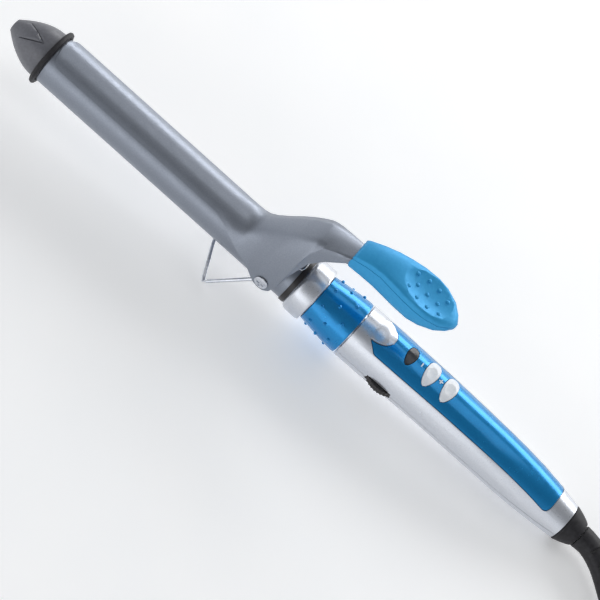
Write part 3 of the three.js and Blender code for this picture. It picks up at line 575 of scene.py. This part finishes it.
grooves = [groove_blade(FIRST_DEG + 120 * k, side) for k in range(3) for side in (-1, 1)]
for blade in grooves:
    only(tip)
    groove = tip.modifiers.new("groove", "BOOLEAN")
    groove.operation = "DIFFERENCE"
    groove.solver = "EXACT"
    groove.object = blade
    bpy.ops.object.modifier_apply(modifier="groove")
    bpy.data.objects.remove(blade)
bpy.ops.object.shade_smooth_by_angle(angle=math.radians(34))
print("tip with", len(grooves), "grooves:", len(tip.data.polygons), "faces")

# %% [markdown]
# ## The handle
# Two lacquered shells, a glossy blue inlay, rubber on the thumb lever and polished white
# buttons. Each moulding has its own edge radius, from 0.15 mm on the ribbed dial to 0.4 mm
# on the soft grip, which is what tells the eye which parts are hard and which are soft.

# %% Handle and controls
finished("nose_sleeve", PEARL, 0.2)
finished("grip_ring", BLUE, 0.15, 60)
finished("handle_upper_shell", PEARL, 0.25, 48)
finished("handle_lower_shell", PEARL, 0.25)
finished("control_panel", BLUE, 0.3)
finished("indicator_lens", SMOKE, 0.3)
finished("power_on_button", WHITE, 0.35)
finished("power_off_button", WHITE, 0.35)
finished("temperature_dial", PHENOLIC, 0.15)
finished("thumb_grip_upper", SOFT_BLUE, 0.3, 55)
finished("thumb_grip_lower", SOFT_BLUE, 0.4, 55)

# %% [markdown]
# ## Swivel, sleeve, tie and plug
# These stay as the maker's model has them, with rounded edges. Each goes on its own body, and the cord went
# on the swivel's body with the pieces on it, so that they move together.

# %% Swivel and cord ends
finished("swivel_bush", SILICONE, 0.3)
relief = finished("strain_relief", SILICONE, 0.15)
tie = finished("cord_tie", SILICONE, 0.25)
plug = finished("plug_body", PHENOLIC, 0.5)
blades = [finished(f"plug_blade_{name}", BRASS, 0.15) for name in ("live", "neutral")]

# %% [markdown]
# ## Marks beside the buttons
# The panel has a plain minus and plus moulded in white beside the two buttons. Each bar
# starts as a cube on the panel's crown and is made thin. The minus is one bar, the plus is
# two bars joined into one object, and their edges are rounded.


# %% A raised mark on the panel's crown
MARK_LONG, MARK_WIDE, MARK_HIGH, MARK_EDGE = 2.4, 0.6, 0.5, 0.08


def mark(name, x, crown, bars):
    """One or two bars, joined, at a height on the tool's top line."""
    strokes = []
    for length, width in bars:
        bpy.ops.object.select_all(action="DESELECT")
        bpy.ops.mesh.primitive_cube_add(size=1, location=at(x, 0, crown))
        stroke = bpy.context.active_object
        stroke.rotation_euler = TOOL.to_euler()
        stroke.scale = (length * MM, width * MM, MARK_HIGH * MM)
        bpy.ops.object.transform_apply(location=True, rotation=True, scale=True)
        strokes.append(stroke)
    only(*strokes)
    if len(strokes) > 1:
        bpy.ops.object.join()
    piece = bpy.context.active_object
    piece.name = name
    edge = piece.modifiers.new("edge", "BEVEL")
    edge.width = MARK_EDGE * MM
    edge.segments = 2
    bpy.ops.object.modifier_apply(modifier="edge")
    piece.data.materials.append(WHITE)
    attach(piece, "handle")
    print(name, "at", [round(v, 4) for v in at(x, 0, crown)])


mark("minus_mark", 58.3, 15.32, [(MARK_WIDE, MARK_LONG)])
mark("plus_mark", 70.3, 15.24, [(MARK_WIDE, MARK_LONG), (MARK_LONG, MARK_WIDE)])

# %% [markdown]
# ## Inside the shells
# The heater, the board and the swivel's rings are hidden, and the two housing screws lie in
# holes under the handle. They keep the maker's plain meshes, and each gets the finish of
# what it is made of.

# %% Pieces inside the shells
INSIDE = {
    "heat_shoe_upper": ALUMINIUM, "heat_shoe_lower": ALUMINIUM, "capacitor": ALUMINIUM,
    "heater_plate": CERAMIC, "temperature_sensor": CERAMIC, "thermal_fuse": ZINC, "hinge_bar": ZINC,
    "housing_screw_front": ZINC, "housing_screw_rear": ZINC, "indicator_led": RED, "circuit_board": BOARD,
    "on_switch": PHENOLIC, "off_switch": PHENOLIC, "triac": PHENOLIC, "potentiometer": PHENOLIC,
    "slip_ring_live": BRASS, "slip_ring_neutral": BRASS, "contact_brush_live": BRASS,
    "contact_brush_neutral": BRASS,
}
for node, material in INSIDE.items():
    mesh = bpy.data.objects[node].data
    mesh.materials.clear()
    mesh.materials.append(material)
print("inner pieces:", len(INSIDE))
